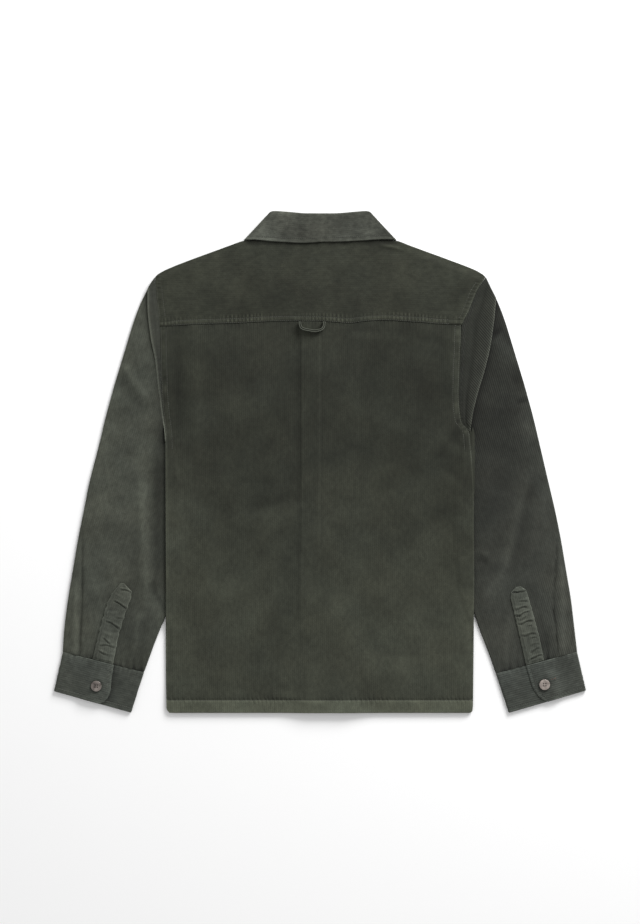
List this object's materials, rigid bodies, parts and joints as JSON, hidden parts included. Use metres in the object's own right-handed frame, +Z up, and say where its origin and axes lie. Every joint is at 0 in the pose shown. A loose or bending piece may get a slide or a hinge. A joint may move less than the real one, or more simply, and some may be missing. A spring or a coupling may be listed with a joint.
{
  "type": "corduroy shirt-jacket",
  "caption": "Dark olive corduroy shirt-jacket laid flat on its front: yoke, back with box pleat, tucked sleeves, buttoned cuffs, fold-over collar.",
  "frame": {"origin": "middle of the plan outline, on the surface the jacket rests on", "axes": "+X to the wearer's right, which is the picture's right, +Y from the hem to the collar, +Z up out of the back"},
  "size_m": [0.798, 0.752, 0.0166],
  "materials": {
    "yoke": "8-wale cotton corduroy, wales across, matt with a soft nap",
    "body": "8-wale cotton corduroy, wales up and down, matt with a soft nap",
    "sleeves": "8-wale cotton corduroy, wales along the sleeve, matt with a soft nap",
    "plackets": "8-wale cotton corduroy, gathered by its edge stitching",
    "cuffs": "8-wale cotton corduroy, doubled",
    "collar": "8-wale cotton corduroy, doubled, wales across",
    "loop": "folded corduroy strip",
    "buttons": "mottled grey-brown horn look, four holes, soft gloss"
  },
  "bodies": {
    "root": {"yoke": "yoke", "back_panel": "body", "front_left": "body", "front_right": "body", "sleeve_left": "sleeves", "sleeve_right": "sleeves", "sleeve_placket_left": "plackets", "sleeve_placket_right": "plackets", "cuff_left": "cuffs", "cuff_right": "cuffs", "collar": "collar", "locker_loop": "loop", "cuff_button_left": "buttons", "cuff_button_right": "buttons", "front_button_1": "buttons", "front_button_2": "buttons", "front_button_3": "buttons", "front_button_4": "buttons", "front_button_5": "buttons", "front_button_6": "buttons"}
  },
  "joints": []
}
